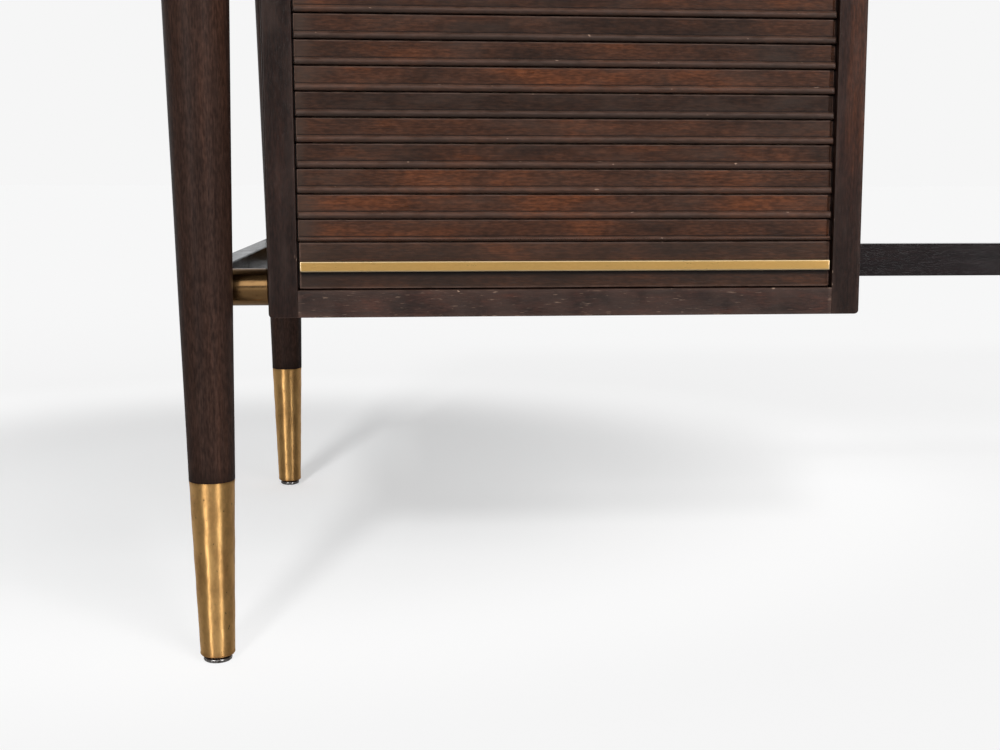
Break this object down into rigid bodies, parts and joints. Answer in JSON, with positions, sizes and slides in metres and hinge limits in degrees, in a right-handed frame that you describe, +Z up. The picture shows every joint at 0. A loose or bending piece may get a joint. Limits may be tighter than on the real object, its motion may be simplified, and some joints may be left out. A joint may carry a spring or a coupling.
{
  "type": "tambour desk",
  "caption": "Dark wood writing desk on turned legs with brass sabots: a hanging pedestal closed by a lifting tambour with a brass bar, and a drawer over the kneehole.",
  "frame": {"origin": "on the floor, under the middle of the desk top (bottom centre of the bounding box)", "axes": "+X towards the sitter's right, along the desk's length; +Y from the sitter towards the desk's back; +Z up"},
  "size_m": [1.3716, 0.7226, 0.751],
  "materials": {
    "brass_bar": "drawn brass bar, brushed, lightly tarnished",
    "brass_hardware": "turned brass, aged",
    "brass_sabot": "spun brass, aged, pitted and tarnished",
    "canvas": "plain woven cotton duck",
    "case_wood": "dark stained walnut, satin, with worn edges",
    "drawer_wood": "clear-sealed maple, matte",
    "fibre": "vulcanised fibre, black",
    "leg_wood": "dark stained turned hardwood, satin",
    "rail_wood": "near-black stained hardwood, satin",
    "steel_glides": "nickelled steel, scuffed",
    "steel_screws": "plain steel",
    "tambour_wood": "dark stained walnut slats of uneven tone, worn along the lips",
    "top_wood": "dark stained walnut veneer, satin, with long grain along the top"
  },
  "bodies": {
    "desk": {"case_back": "case_wood", "case_bottom": "case_wood", "case_side_left": "case_wood", "case_side_right": "case_wood", "case_top": "case_wood", "desk_top": "top_wood", "fascia": "case_wood", "frieze_back": "case_wood", "frieze_end": "case_wood", "glide_washers": "fibre", "glides": "steel_glides", "leg_front_left": "leg_wood", "leg_front_right": "leg_wood", "leg_rear_left": "leg_wood", "leg_rear_right": "leg_wood", "pocket_panel": "case_wood", "runner_left": "drawer_wood", "runner_right": "drawer_wood", "runner_screws": "steel_screws", "sabot_front_left": "brass_sabot", "sabot_front_right": "brass_sabot", "sabot_rear_left": "brass_sabot", "sabot_rear_right": "brass_sabot", "shelf": "case_wood", "shelf_pins": "brass_hardware", "side_rail_lower_left": "rail_wood", "side_rail_lower_right": "rail_wood", "side_rail_upper_left": "rail_wood", "side_rail_upper_right": "rail_wood", "spacer_bolts": "brass_hardware", "spacer_lower_front_left": "brass_hardware", "spacer_lower_rear_left": "brass_hardware", "spacer_upper_front_left": "brass_hardware", "spacer_upper_front_right": "brass_hardware", "spacer_upper_rear_left": "brass_hardware", "spacer_upper_rear_right": "brass_hardware", "stretcher": "rail_wood", "top_screws": "steel_screws"},
    "tambour": {"slat_01": "tambour_wood", "slat_02": "tambour_wood", "slat_03": "tambour_wood", "slat_04": "tambour_wood", "slat_05": "tambour_wood", "slat_06": "tambour_wood", "slat_07": "tambour_wood", "slat_08": "tambour_wood", "slat_09": "tambour_wood", "slat_10": "tambour_wood", "slat_11": "tambour_wood", "tambour_bar": "brass_bar", "tambour_bar_screws": "steel_screws", "tambour_bottom_rail": "tambour_wood", "tambour_canvas": "canvas"},
    "drawer": {"drawer_back": "drawer_wood", "drawer_bar": "brass_bar", "drawer_bar_screws": "steel_screws", "drawer_bottom": "drawer_wood", "drawer_front": "case_wood", "drawer_side_left": "drawer_wood", "drawer_side_right": "drawer_wood"}
  },
  "joints": [
    {"name": "tambour_lift", "type": "slide", "parent": "desk", "child": "tambour", "axis": [0, 0, 1], "range_m": [0, 0.195]},
    {"name": "drawer_slide", "type": "slide", "parent": "desk", "child": "drawer", "axis": [0, -1, 0], "range_m": [0, 0.38]}
  ]
}
